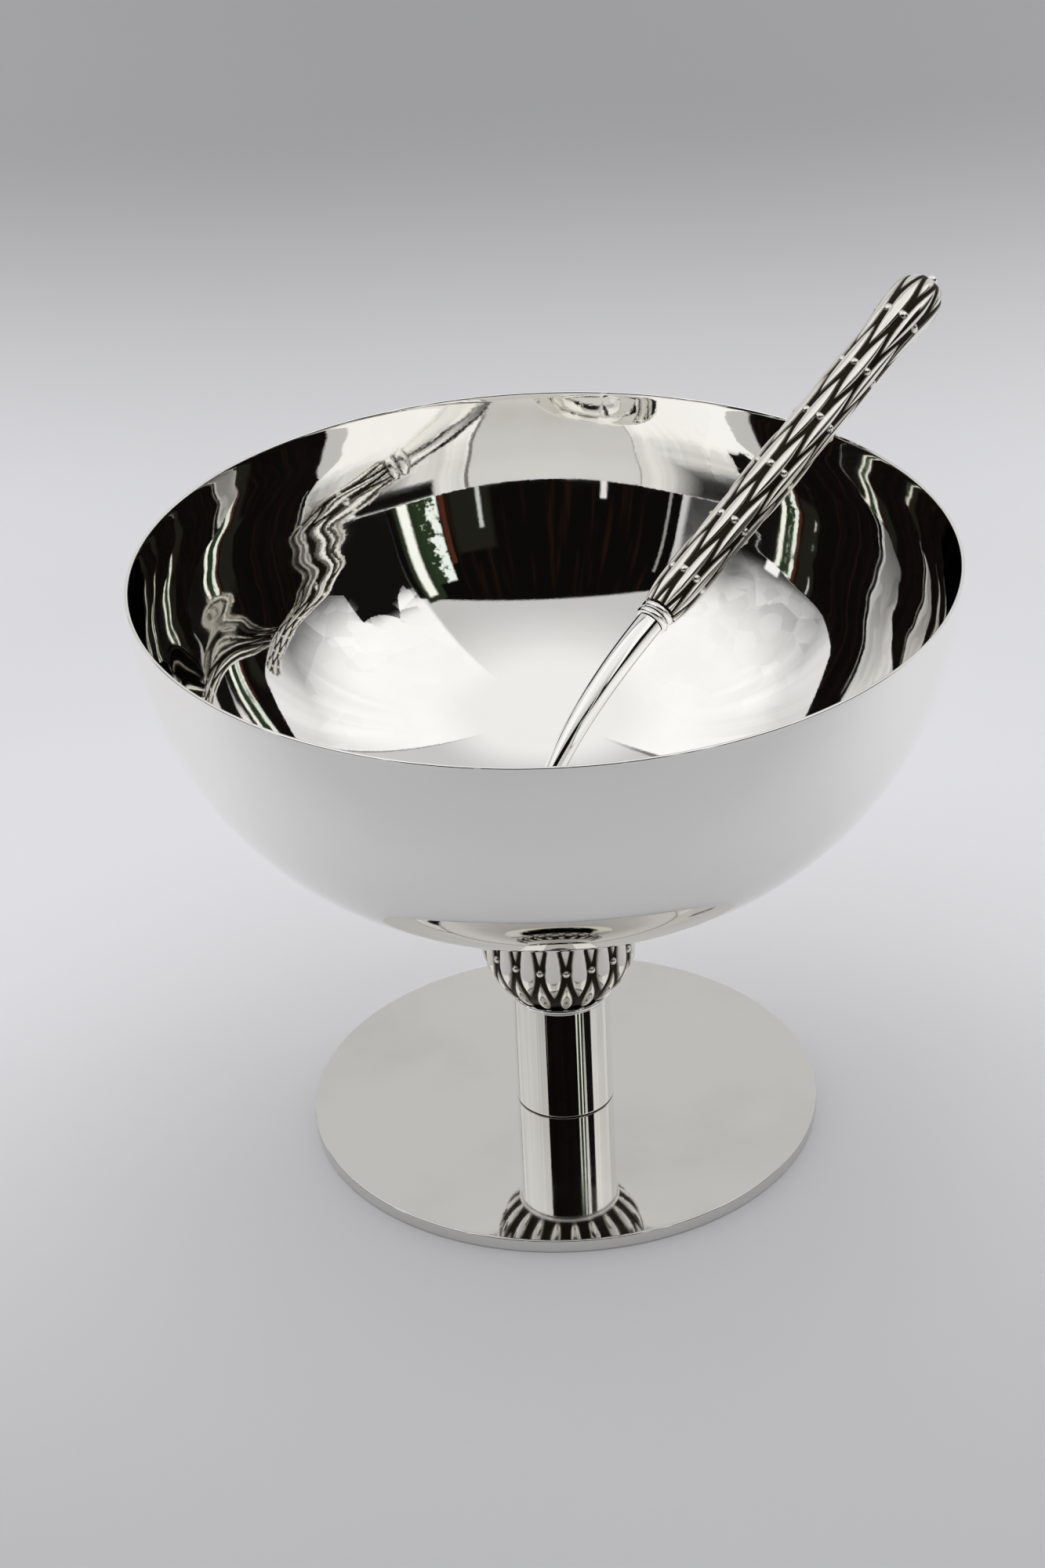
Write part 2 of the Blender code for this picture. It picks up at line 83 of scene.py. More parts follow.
# half widths of the collar's leaves, by height from its widest ring
BIG_LEAF = [(-0.0095, 0.0), (-0.0075, 0.0010), (-0.0040, 0.0023), (0.0005, 0.00295), (0.0055, 0.0026),
            (0.0110, 0.0018), (0.0200, 0.0)]
LOW_LEAF = [(-0.0176, 0.0), (-0.0170, 0.0013), (-0.0155, 0.0021), (-0.0120, 0.0024), (-0.0085, 0.0019),
            (-0.0050, 0.0009), (-0.0022, 0.0)]
HIGH_LEAF = [(0.0036, 0.0), (0.0065, 0.0009), (0.0105, 0.0018), (0.0160, 0.0025), (0.0240, 0.0030)]
# widest half width that each leaf's crown is measured against, and how high it stands
BIG_CROWN = (0.0029, 1.0)
LOW_CROWN = (0.0024, 1.0)
HIGH_CROWN = (0.0026, 0.9)
# collar beads: height from the widest ring, radius, how high they stand
COLLAR_BEAD = (0.0014, 0.00140, 0.95)
CUP_RADIUS = 0.0400
CUP_DEPTH = 0.0330
CUP_WALL = 0.0012
CUP_TILT = 12.0
SHANK_TOP = 0.0045
SHANK_FOOT = 0.0025
SHANK_JOIN = 0.0050
SHANK_STEEP = 57.2
SHANK_EASE = (0.373, 0.311)
SHANK_TAPER = 1.8
TANG_RADIUS = 0.0022
TANG_LENGTH = 0.0340
RING_RADIUS = 0.0058
RING_WIDTH = 0.0024
GRIP_LENGTH = 0.1578
GRIP_COLUMNS = 16
GRIP_TURN = -5.5
GRIP_PITCH = 0.0246
GRIP_FIRST = 0.0171
# handle leaves: half length, half width, how high they stand
GRIP_LEAF = (0.0168, 0.00190, 0.97)
GRIP_LEAF_GIRTH = 0.0072
GRIP_BEAD = 0.00150
BUTTON_RADIUS = 0.0019
PEG_RADIUS = 0.0009
PEG_LENGTH = 0.0035
GRIP_GIRTH = [(0.0, 0.0064), (0.04, 0.0069), (0.15, 0.0071), (0.40, 0.0075), (0.62, 0.0074),
              (0.72, 0.0073), (0.80, 0.0075), (0.86, 0.0088), (0.905, 0.0096), (0.94, 0.0095),
              (0.965, 0.0088), (0.985, 0.0071), (0.996, 0.0049), (1.0, 0.0034)]

# how far the leaves stand proud of that girth, and how deep the relief is, by share of the length
GRIP_PROUD = [(0.0, 0.0), (0.06, 0.0006), (0.40, 0.0007), (0.78, 0.0006), (0.88, -0.0002), (1.0, -0.0002)]
GRIP_DEEP = [(0.0, 0.0012), (0.1, 0.0013), (0.8, 0.0013), (0.9, 0.0008), (0.96, 0.0008), (1.0, 0.0006)]

# steps round the wide pieces, the narrow ones, the ladle's rings and shank, and across one leaf
WIDE_ROUND = 256
NARROW_ROUND = 160
RING_ROUND = 96
SHANK_ROUND = 48
LEAF_STEPS = 14
# rows along the relief of the collar and of the handle, and along the shank
COLLAR_ROWS = 130
GRIP_ROWS = 400
SHANK_ROWS = 90
# gaps left under the bowl and at the cup, in parts of GAP
SEAT_GAP = 1.2
CUP_GAP = 1.4

# ---- places from the frame ----------------------------------------------------------------------
UP = Vector((0.0, 0.0, 1.0))


def box(node):
    """Low and high corner of a CAD node."""
    low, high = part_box(node)
    return Vector(low), Vector(high)


def middle(node):
    low, high = box(node)
    return (low + high) / 2.0


def points_of(node):
    """Vertices of a CAD node as an array."""
    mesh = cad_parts[node].data
    spots = np.empty(len(mesh.vertices) * 3)
    mesh.vertices.foreach_get("co", spots)
    return spots.reshape(-1, 3)


RIM_HEIGHT = box("bowl")[1].z
RIM_RADIUS = box("bowl")[1].x
FOOT_RADIUS = box("foot_plate")[1].x
FOOT_THICK = box("foot_plate")[1].z
STEM_RADIUS = box("stem_tube")[1].x
STEM_LOW = box("stem_tube")[0].z
STEM_TOP = box("stem_tube")[1].z
RING_LOW = box("neck_ring")[0].z
RING_TOP = box("neck_ring")[1].z
NECK_RADIUS = box("neck_ring")[1].x
COLLAR_LOW = box("leaf_collar")[0].z
RINGS_AT = (middle("shank_ring_lower") + middle("shank_ring_upper")) / 2.0
ALONG = (middle("shank_ring_upper") - middle("shank_ring_lower")).normalized()
AHEAD = Vector((ALONG.x, ALONG.y, 0.0)).normalized()
SIDE = UP.cross(AHEAD)
GRIP_START = RING_WIDTH + GAP * 1.5
CUP_UP = (UP * math.cos(math.radians(CUP_TILT)) + AHEAD * math.sin(math.radians(CUP_TILT))).normalized()
CUP_FORE = SIDE.cross(CUP_UP).normalized()


def cup_centre():
    """Middle of the cup's mouth: its rim points lie highest along its axis."""
    spots = points_of("ladle_cup")
    high = spots @ np.array(CUP_UP)
    near_top = high > high.max() - TOUCH * 5.0
    return Vector(spots[near_top].mean(axis=0))


CUP_AT = cup_centre()


# ---- building helpers ---------------------------------------------------------------------------
def axis_frame(origin, direction, across):
    """Matrix whose +Z runs along a direction."""
    z = direction.normalized()
    x = across.normalized()
    y = z.cross(x)
    turn = Matrix((x, y, z)).transposed().to_4x4()
    return Matrix.Translation(origin) @ turn


HANDLE = axis_frame(RINGS_AT, ALONG, -SIDE)


def turned(profile, segments, closed=False, start=0.0):
    """Bmesh of a profile of (radius, height) points spun round Z from an angle in degrees."""
    bm = bmesh.new()
    a = math.radians(start)
    line = [bm.verts.new((r * math.cos(a), r * math.sin(a), z)) for r, z in profile]
    edges = [bm.edges.new(pair) for pair in zip(line, line[1:])]
    if closed:
        edges.append(bm.edges.new((line[-1], line[0])))
    bmesh.ops.spin(bm, geom=line + edges, cent=(0.0, 0.0, 0.0), axis=(0.0, 0.0, 1.0),
                   angle=math.tau, steps=segments, use_merge=True)
    bmesh.ops.remove_doubles(bm, verts=bm.verts, dist=TINY)
    return bm


def piece(name, bm, look, body, node, frame_matrix=None, sharp=40.0):
    """Turns a bmesh into a finished piece that rides on a body and stands for a CAD node."""
    bmesh.ops.recalc_face_normals(bm, faces=bm.faces)
    mesh = bpy.data.meshes.new(name)
    bm.to_mesh(mesh)
    bm.free()
    if frame_matrix is not None:
        mesh.transform(frame_matrix)
    mesh.shade_smooth()
    mesh.set_sharp_from_angle(angle=math.radians(sharp))
    mesh.materials.append(look)
    obj = bpy.data.objects.new(name, mesh)
    bpy.context.scene.collection.objects.link(obj)
    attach(obj, body)
    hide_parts(node)
    return obj


def blend(table, x):
    """Smooth curve through a table of (place, value)."""
    if x <= table[0][0]:
        return table[0][1]
    for i in range(len(table) - 1):
        x0, y0 = table[i]
        x1, y1 = table[i + 1]
        if x <= x1:
            t = (x - x0) / (x1 - x0)
            before = table[max(i - 1, 0)]
            after = table[min(i + 2, len(table) - 1)]
            m0 = (y1 - before[1]) / (x1 - before[0]) * (x1 - x0)
            m1 = (after[1] - y0) / (after[0] - x0) * (x1 - x0)
            ends = (2 * t ** 3 - 3 * t ** 2 + 1) * y0 + (t ** 3 - 2 * t ** 2 + t) * m0
            return ends + (3 * t ** 2 - 2 * t ** 3) * y1 + (t ** 3 - t ** 2) * m1
    return table[-1][1]


def arc(centre, radius, first, last, count):
    """Points (radius, height) along part of a circle, angles in degrees."""
    spots = []
    for i in range(count + 1):
        a = math.radians(first + (last - first) * i / count)
        spots.append((centre[0] + radius * math.cos(a), centre[1] + radius * math.sin(a)))
    return spots


# ---- bowl curve ---------------------------------------------------------------------------------
def belly(count):
    """Outside of the bowl from the lowest point to the lip, as (radius, height)."""
    half = BOWL_DEPTH + BOWL_CENTRE_RISE
    share = BOWL_CENTRE_RISE / half
    wide = RIM_RADIUS / (1.0 - share ** BOWL_FULLNESS) ** (1.0 / BOWL_FULLNESS)
    last = math.acos(share ** (BOWL_FULLNESS / 2.0))
    curve = []
    for i in range(count + 1):
        t = last * i / count
        r = wide * math.sin(t) ** (2.0 / BOWL_FULLNESS)
        z = RIM_HEIGHT + BOWL_CENTRE_RISE - half * math.cos(t) ** (2.0 / BOWL_FULLNESS)
        curve.append((r, z))
    return curve


def inset(curve, amount):
    """Curve moved inwards by an amount, square to itself."""
    moved = []
    for i, (r, z) in enumerate(curve):
        r0, z0 = curve[max(i - 1, 0)]
        r1, z1 = curve[min(i + 1, len(curve) - 1)]
        if i == 0:
            moved.append((0.0, z + amount))
            continue
        long = math.hypot(r1 - r0, z1 - z0)
        moved.append((r - amount * (z1 - z0) / long, z + amount * (r1 - r0) / long))
    return moved


def height_on(curve, radius):
    """Height of a rising curve at a radius."""
    for (r0, z0), (r1, z1) in zip(curve, curve[1:]):
        if radius <= r1:
            return z0 + (z1 - z0) * (radius - r0) / (r1 - r0)
    return curve[-1][1]


BELLY = belly(400)


# ---- relief of leaves and beads -----------------------------------------------------------------
def outline(table, place):
    """Half width of a leaf at each place along it, from a smooth curve through its points."""
    fine = np.linspace(table[0][0], table[-1][0], 160)
    return np.interp(place, fine, [max(blend(table, x), 0.0) for x in fine], left=0.0, right=0.0)


def rounded(across, half, most):
    """Crowned cross-section, 0 to 1, that sinks where the leaf narrows."""
    v = np.minimum(np.abs(across) / np.maximum(half, TINY), 1.0)
    return np.sqrt(1.0 - v * v) * np.minimum(half / most, 1.0) ** 0.4


def spindle(along, across, length, width):
    """Leaf pointed at both ends, 0 to 1, from distances to its middle."""
    u = np.minimum(np.abs(along) / length, 1.0)
    return rounded(across, width * (1.0 - u ** 2.2), width)


def bead(along, across, radius):
    """Half ball, 0 to 1, from distances to its middle."""
    d = np.minimum((along * along + across * across) / (radius * radius), 1.0)
    return np.sqrt(1.0 - d)


def collar_crest(z):
    """Radius over the leaves: a quarter ellipse that starts at the stem's radius."""
    drop = RING_TOP + COLLAR_WIDEST - z
    if drop <= 0.0:
        return COLLAR_RADIUS
    share = drop / COLLAR_WIDEST
    return COLLAR_RADIUS * math.sqrt(1.0 - (1.0 - (STEM_RADIUS / COLLAR_RADIUS) ** 2) * share ** 2)


def collar_height(turn, z):
    """Height of the collar's relief, 0 on the ground and 1 on a crest; arrays, turn in degrees."""
    step = 360.0 / COLLAR_COLUMNS
    turn = turn - (COLLAR_TURN - 90.0)
    column = np.round(turn / step)
    arc_long = math.radians(step) * COLLAR_RADIUS
    across = (turn / step - column) * arc_long
    up = z - RING_TOP - COLLAR_WIDEST
    big_half, low_half, high_half = [outline(table, up) for table in (BIG_LEAF, LOW_LEAF, HIGH_LEAF)]
    bead_up, bead_radius, bead_tall = COLLAR_BEAD
    best = np.zeros_like(turn)
    for shift in (-1, 0, 1):
        off = across - arc_long * shift
        even = (column + shift) % 2 == 0
        big = BIG_CROWN[1] * rounded(off, big_half, BIG_CROWN[0])
        low = LOW_CROWN[1] * rounded(off, low_half, LOW_CROWN[0])
        high = HIGH_CROWN[1] * rounded(off, high_half, HIGH_CROWN[0])
        small = np.maximum(low, high)
        small = np.maximum(small, bead_tall * bead(up - bead_up, off, bead_radius))
        best = np.maximum(best, np.where(even, big, small))
    return best


def grip_crest(far):
    """Radius of the handle over the leaves; far is measured from the middle of the rings."""
    share = (far - GRIP_START) / GRIP_LENGTH
    return blend(GRIP_GIRTH, share) + blend(GRIP_PROUD, share)


def grip_relief(far):
    """Depth of the handle's relief."""
    return blend(GRIP_DEEP, (far - GRIP_START) / GRIP_LENGTH)


def grip_height(turn, far):
    """Height of the handle's relief, 0 on the ground and 1 on a crest; arrays, turn in degrees."""
    step = 360.0 / GRIP_COLUMNS
    turn = turn - GRIP_TURN
    column = np.round(turn / step)
    arc_long = math.radians(step) * GRIP_LEAF_GIRTH
    first = np.round((far - GRIP_FIRST) / GRIP_PITCH)
    best = np.zeros_like(turn)
    for shift in (-1, 0, 1):
        off = (turn / step - column - shift) * arc_long
        for row in (-1, 0, 1):
            up = far - GRIP_FIRST - GRIP_PITCH * (first + row)
            even = (column + shift + first + row) % 2 == 0
            leaf = GRIP_LEAF[2] * spindle(up, off, GRIP_LEAF[0], GRIP_LEAF[1])
            best = np.maximum(best, np.where(even, leaf, bead(up, off, GRIP_BEAD)))
    return best


def emboss(bm, crest, height, relief, low, high):
    """Presses the relief into the outer skin and keeps its height on each vertex."""
    layer = bm.verts.layers.float.new("relief")
    chosen = []
    for vert in bm.verts:
        vert[layer] = 1.0
        r = math.hypot(vert.co.x, vert.co.y)
        if low < vert.co.z < high and r > crest(vert.co.z) - TOUCH:
            chosen.append((vert, r))
    turn = np.degrees(np.array([math.atan2(v.co.y, v.co.x) for v, _ in chosen]))
    tall = np.array([v.co.z for v, _ in chosen])
    crests = height(turn, tall)
    for (vert, r), share in zip(chosen, crests):
        scale = (r - relief(vert.co.z) * (1.0 - share)) / r
        vert.co.x *= scale
        vert.co.y *= scale
        vert[layer] = share


# ---- node helper --------------------------------------------------------------------------------
class Graph:
    """Short calls for the nodes of one material or world."""

    def __init__(self, tree):
        self.tree = tree
        tree.nodes.clear()

    def node(self, kind, **settings):
        made = self.tree.nodes.new(kind)
        for key, value in settings.items():
            setattr(made, key, value)
        return made

    def put(self, socket, value):
        if isinstance(value, bpy.types.NodeSocket):
            self.tree.links.new(value, socket)
        else:
            socket.default_value = value

    def math(self, operation, a, b=0.0):
        made = self.node("ShaderNodeMath", operation=operation)
        self.put(made.inputs[0], a)
        self.put(made.inputs[1], b)
        return made.outputs[0]

    def ramp(self, value, low, high, start=0.0, end=1.0):
        """Smooth step from start at low to end at high."""
        made = self.node("ShaderNodeMapRange", interpolation_type="SMOOTHSTEP")
        for socket, number in zip(made.inputs, (value, low, high, start, end)):
            self.put(socket, number)
        return made.outputs[0]

    def window(self, value, low, high, soft):
        """1 between two values, with soft edges."""
        rise = self.ramp(value, low - soft, low + soft)
        fall = self.ramp(value, high - soft, high + soft, 1.0, 0.0)
        return self.math("MULTIPLY", rise, fall)

    def mix(self, share, a, b):
        made = self.node("ShaderNodeMix", data_type="RGBA")
        self.put(made.inputs[0], share)
        self.put(made.inputs[6], a)
        self.put(made.inputs[7], b)
        return made.outputs[2]

    def noise(self, place, scale, detail=3.0, rough=0.55):
        made = self.node("ShaderNodeTexNoise")
        self.put(made.inputs["Vector"], place)
        self.put(made.inputs["Scale"], scale)
        self.put(made.inputs["Detail"], detail)
        self.put(made.inputs["Roughness"], rough)
        return made.outputs["Fac"]


# ---- materials ----------------------------------------------------------------------------------
# grain of the noises, in turns per metre: tarnish clouds, uneven gloss, wiping marks, cast stains
CLOUDS = 14.0
UNEVEN = 60.0
WIPING = 900.0
STAINS = 350.0
BUMP_DEPTH = 0.0001
# cast silver: dark tarnish in the recesses, the leaves' sloping sides, which are partly thin tarnish and
# partly painted shade, and the rubbed crests
GRIME = (0.025, 0.021, 0.015, 1.0)
THIN_TARNISH_AND_SHADE = (0.30, 0.27, 0.22, 1.0)
RUBBED = (0.86, 0.84, 0.785, 1.0)


def metal_base(name):
    """New material with a metallic shader: its graph, the shader and the place on the object."""
    mat = bpy.data.materials.new(name)
    mat.use_nodes = True
    g = Graph(mat.node_tree)
    out = g.node("ShaderNodeOutputMaterial")
    shader = g.node("ShaderNodeBsdfPrincipled")
    g.tree.links.new(shader.outputs[0], out.inputs[0])
    shader.inputs["Metallic"].default_value = 1.0
    place = g.node("ShaderNodeTexCoord").outputs["Object"]
    return mat, g, shader, place


def roughen(g, shader, height, strength):
    """Gives the shader a fine bump."""
    bump = g.node("ShaderNodeBump")
    bump.inputs["Strength"].default_value = strength
    bump.inputs["Distance"].default_value = BUMP_DEPTH
    g.put(bump.inputs["Height"], height)
    g.put(shader.inputs["Normal"], bump.outputs[0])


def metal(name, bright, dull, rough, haze):
    """Polished metal: faint tarnish clouds, fine wiping marks and a slightly uneven gloss."""
    mat, g, shader, place = metal_base(name)
    clouds = g.noise(place, CLOUDS, 4.0)
    g.put(shader.inputs["Base Color"], g.mix(g.ramp(clouds, 0.45, 0.75), bright, dull))
    gloss = g.ramp(g.noise(place, UNEVEN, 5.0), 0.3, 0.75, rough, haze)
    g.put(shader.inputs["Roughness"], gloss)
    roughen(g, shader, g.noise(place, WIPING, 2.0), 0.02)
    return mat


def cast_silver(name):
    """Cast silver: bright rubbed crests, dark tarnish left in the recesses, and painted shade on the
    sloping sides between them.
    """
    mat, g, shader, place = metal_base(name)
    relief = g.node("ShaderNodeAttribute", attribute_name="relief").outputs["Fac"]
    stain = g.noise(place, STAINS, 4.0)
    wear_and_shading = g.math("ADD", relief, g.math("MULTIPLY", g.math("SUBTRACT", stain, 0.5), 0.25))
    # painted shade: the leaves' sloping sides darken from the rubbed crests down to the tarnished ground,
    # standing in for their shading
    tarnish_and_shade = g.mix(g.ramp(wear_and_shading, 0.05, 0.35), GRIME, THIN_TARNISH_AND_SHADE)
    g.put(shader.inputs["Base Color"], g.mix(g.ramp(wear_and_shading, 0.28, 0.74), tarnish_and_shade, RUBBED))
    g.put(shader.inputs["Roughness"], g.ramp(wear_and_shading, 0.1, 0.8, 0.5, 0.11))
    roughen(g, shader, stain, 0.12)
    return mat


SILVER = metal("polished silver", (0.94, 0.93, 0.905, 1.0), (0.90, 0.88, 0.84, 1.0), 0.012, 0.035)
DISC_SILVER = metal("disc silver", (0.765, 0.755, 0.73, 1.0), (0.70, 0.685, 0.65, 1.0), 0.02, 0.06)
DULL_SILVER = metal("unpolished silver", (0.80, 0.78, 0.74, 1.0), (0.62, 0.60, 0.55, 1.0), 0.25, 0.4)
BRASS = metal("brass rod", (0.70, 0.55, 0.27, 1.0), (0.50, 0.38, 0.18, 1.0), 0.25, 0.4)
CAST = cast_silver("cast silver")


# ---- pedestal -----------------------------------------------------------------------------------
def eased(value, low, high):
    """Smooth step from 0 at low to 1 at high."""
    t = min(max((value - low) / (high - low), 0.0), 1.0)
    return t * t * (3.0 - 2.0 * t)


def ripple_wall(bm):
    """Moves the inner wall in and out a little, as a hand-raised bowl has it; its back is smoother."""
    heights = [z for _, z in BELLY]
    radii = [r for r, _ in BELLY]
    lip = math.sin(math.tau * WAVE_START / WAVE[1])
    for vert in bm.verts:
        r = math.hypot(vert.co.x, vert.co.y)
        deep = RIM_HEIGHT - vert.co.z
        if deep > WAVES_END[1] or r > np.interp(vert.co.z, heights, radii) - LIP_WIDTH * LIP_SHARE:
            continue
        turn = math.atan2(vert.co.y, vert.co.x)
        fade = eased(deep, WAVES_END[1], WAVES_END[0])
        fade *= 1.0 - BACK_SMOOTH * eased(math.sin(turn), SMOOTH_BACK[0], SMOOTH_BACK[1])
        swing = WANDER[0] * math.sin(2.0 * turn + WANDER[1]) * min(deep / WANDER[2], 1.0)
        inward = WAVE[0] * (math.sin(math.tau * (deep + swing - WAVE_START) / WAVE[1]) + lip)
        fine = math.sin(math.tau * deep / RIPPLE[1] + 2.0 * math.sin(3.0 * turn))
        inward += RIPPLE[0] * fine * min(deep / RIPPLE_START, 1.0)
        vert.co.x *= (r - inward * fade) / r
        vert.co.y *= (r - inward * fade) / r


def make_bowl():
    """Thin bowl with a half-round lip; the inside has finer rows because it carries the waves."""
    outer = belly(80)
    curve = belly(190)
    inner = []
    for (r, z), (r1, z1) in zip(curve, inset(curve, BOWL_WALL)):
        taper = min((RIM_HEIGHT - z) / WAVES_END[1], 1.0)
        share = (LIP_WIDTH + (BOWL_WALL - LIP_WIDTH) * taper) / BOWL_WALL
        inner.append((r + (r1 - r) * share, z + (z1 - z) * share))
    soft = LIP_WIDTH / 2.0
    top = RIM_HEIGHT - soft
    outer = [p for p in outer if p[1] < top - LIP_CLEAR]
    inner = [p for p in inner if p[1] < top - LIP_CLEAR]
    lip = arc((RIM_RADIUS - soft, top), soft, 0.0, 180.0, 10)
    bm = turned(outer + lip + inner[::-1], WIDE_ROUND)
    ripple_wall(bm)
    piece("silver_bowl", bm, SILVER, "pedestal_bowl", "bowl", sharp=60.0)


def make_foot():
    """Flat disc; rows close to its rounded edges keep its faces flat in the mirror."""
    soft = FOOT_EDGE
    wide = FOOT_RADIUS - soft
    hold = GAP
    shape = [(0.0, 0.0), (wide * 0.5, 0.0), (wide - hold, 0.0)]
    shape += arc((wide, soft), soft, -90.0, 0.0, 5)
    shape += [(FOOT_RADIUS, soft + hold), (FOOT_RADIUS, FOOT_THICK - soft - hold)]
    shape += arc((wide, FOOT_THICK - soft), soft, 0.0, 90.0, 5)
    shape += [(wide - hold, FOOT_THICK), (wide * 0.5, FOOT_THICK), (0.0, FOOT_THICK)]
    bm = turned(shape, WIDE_ROUND)
    piece("foot_disc", bm, DISC_SILVER, "pedestal_bowl", "foot_plate")


def make_stem():
    """Straight tube; rows close to its rounded edges keep its wall straight in the mirror."""
    inside = STEM_RADIUS - STEM_WALL
    soft = STEM_EDGE
    wall = arc((STEM_RADIUS - soft, STEM_TOP - soft), soft, 90.0, 0.0, 3)
    wall += [(STEM_RADIUS, STEM_TOP - soft * 2.0), (STEM_RADIUS, STEM_TOP - soft * 4.0)]
    wall += [(STEM_RADIUS, STEM_LOW + soft * 4.0), (STEM_RADIUS, STEM_LOW + soft * 2.0)]
    wall += arc((STEM_RADIUS - soft, STEM_LOW + soft), soft, 0.0, -90.0, 3)
    wall += [(inside, STEM_LOW), (inside, STEM_TOP)]
    bm = turned(wall, NARROW_ROUND, True)
    piece("stem_sleeve", bm, SILVER, "pedestal_bowl", "stem_tube")


def make_neck_ring():
    """Flat ring with a half-round outside."""
    bore = STEM_RADIUS - STEM_WALL - SEAT_WIDTH
    soft = (RING_TOP - RING_LOW) / 2.0
    edge = arc((NECK_RADIUS - soft, RING_LOW + soft), soft, 90.0, -90.0, 10)
    bm = turned(edge + [(bore, RING_LOW), (bore, RING_TOP)], NARROW_ROUND, True)
    piece("neck_band", bm, SILVER, "pedestal_bowl", "neck_ring")


def make_collar():
    """Cup of leaves and beads that seats under the bowl."""
    low = COLLAR_LOW
    seat = COLLAR_RADIUS - COLLAR_RELIEF
    top = height_on(BELLY, seat) - GAP * SEAT_GAP
    outer = []
    for i in range(COLLAR_ROWS + 1):
        z = low + (top - low) * i / COLLAR_ROWS
        outer.append((collar_crest(z), z))
    inside = COLLAR_RADIUS - COLLAR_WALL
    bore = STEM_RADIUS - STEM_WALL - SEAT_WIDTH
    step = COLLAR_WIDEST / 3.0
    inner = [(seat, top), (inside, height_on(BELLY, inside) - GAP * SEAT_GAP), (inside, low + step * 3.0),
             (inside - SEAT_WIDTH * 2.0, low + step * 1.9), (bore, low + step), (bore, low)]
    bm = turned(outer[:-1] + inner, COLLAR_COLUMNS * LEAF_STEPS, True, COLLAR_TURN - 90.0)
    emboss(bm, collar_crest, collar_height, lambda z: COLLAR_RELIEF, low - TOUCH, top)
    piece("leaf_cup_collar", bm, CAST, "pedestal_bowl", "leaf_collar", sharp=75.0)


# ---- ladle --------------------------------------------------------------------------------------
def make_cup():
    """Half an ellipsoid with a rounded lip."""
    count = 48
    soft = CUP_WALL / 2.0
    outer = []
    inner = []
    for i in range(count):
        t = math.pi / 2 * i / count
        outer.append((CUP_RADIUS * math.sin(t), -CUP_DEPTH * math.cos(t)))
        inner.append(((CUP_RADIUS - CUP_WALL) * math.sin(t), -(CUP_DEPTH - CUP_WALL) * math.cos(t)))
    lip = arc((CUP_RADIUS - soft, -soft), soft, 0.0, 180.0, 8)
    bm = turned(outer[:-1] + lip + inner[-2::-1], NARROW_ROUND)
    piece("ladle_bowl", bm, SILVER, "ladle", "ladle_cup",
          axis_frame(CUP_AT, CUP_UP, CUP_FORE))


def bezier(points, t):
    """Point and heading of a cubic curve at t, 0 to 1."""
    a, b, c, d = points
    u = 1.0 - t
    spot = a * u ** 3 + b * (3 * u * u * t) + c * (3 * u * t * t) + d * t ** 3
    slope = (b - a) * (3 * u * u) + (c - b) * (6 * u * t) + (d - c) * (3 * t * t)
    return spot, slope.normalized()


def shank_route():
    """Bezier points from the rings to the cup wall."""
    start = RINGS_AT - ALONG * GRIP_START
    share = math.sqrt(1.0 - (SHANK_JOIN / CUP_DEPTH) ** 2)
    end = CUP_AT + CUP_FORE * CUP_RADIUS * share - CUP_UP * SHANK_JOIN
    steep = math.radians(SHANK_STEEP)
    down = -(AHEAD * math.cos(steep) + UP * math.sin(steep))
    span = (end - start).length
    return [start, start - ALONG * span * SHANK_EASE[0], end - down * span * SHANK_EASE[1], end]


def onto_cup(point, heading):
    """Where a line first meets the outside of the cup, one gap short of it."""
    grow = GAP * CUP_GAP
    to_cup = axis_frame(CUP_AT, CUP_UP, CUP_FORE).inverted()
    size = Vector((CUP_RADIUS + grow, CUP_RADIUS + grow, CUP_DEPTH + grow))
    p = to_cup @ point
    q = to_cup.to_3x3() @ heading
    p = Vector([p[i] / size[i] for i in range(3)])
    q = Vector([q[i] / size[i] for i in range(3)])
    a = q.dot(q)
    b = p.dot(q)
    c = p.dot(p) - 1.0
    return point + heading * ((-b - math.sqrt(max(b * b - a * c, 0.0))) / a)


def ring_points(spot, heading, radius):
    """Circle of points round the shank, square to its heading."""
    across = heading.cross(SIDE).normalized()
    circle = []
    for k in range(SHANK_ROUND):
        a = math.tau * k / SHANK_ROUND
        circle.append(spot + (SIDE * math.cos(a) + across * math.sin(a)) * radius)
    return circle


def tang_rings():
    """Circles of the tang inside the handle, from its tip to the shank's shoulder."""
    shoulder = -GRIP_START
    soft = TANG_RADIUS * 0.25
    edge = TOUCH * 10.0
    profile = [(TANG_RADIUS - soft, TANG_LENGTH + shoulder), (TANG_RADIUS, TANG_LENGTH + shoulder - soft),
               (TANG_RADIUS, shoulder + edge), (TANG_RADIUS + edge, shoulder), (SHANK_TOP - GAP, shoulder)]
    return [ring_points(RINGS_AT + ALONG * far, -ALONG, radius) for radius, far in profile]


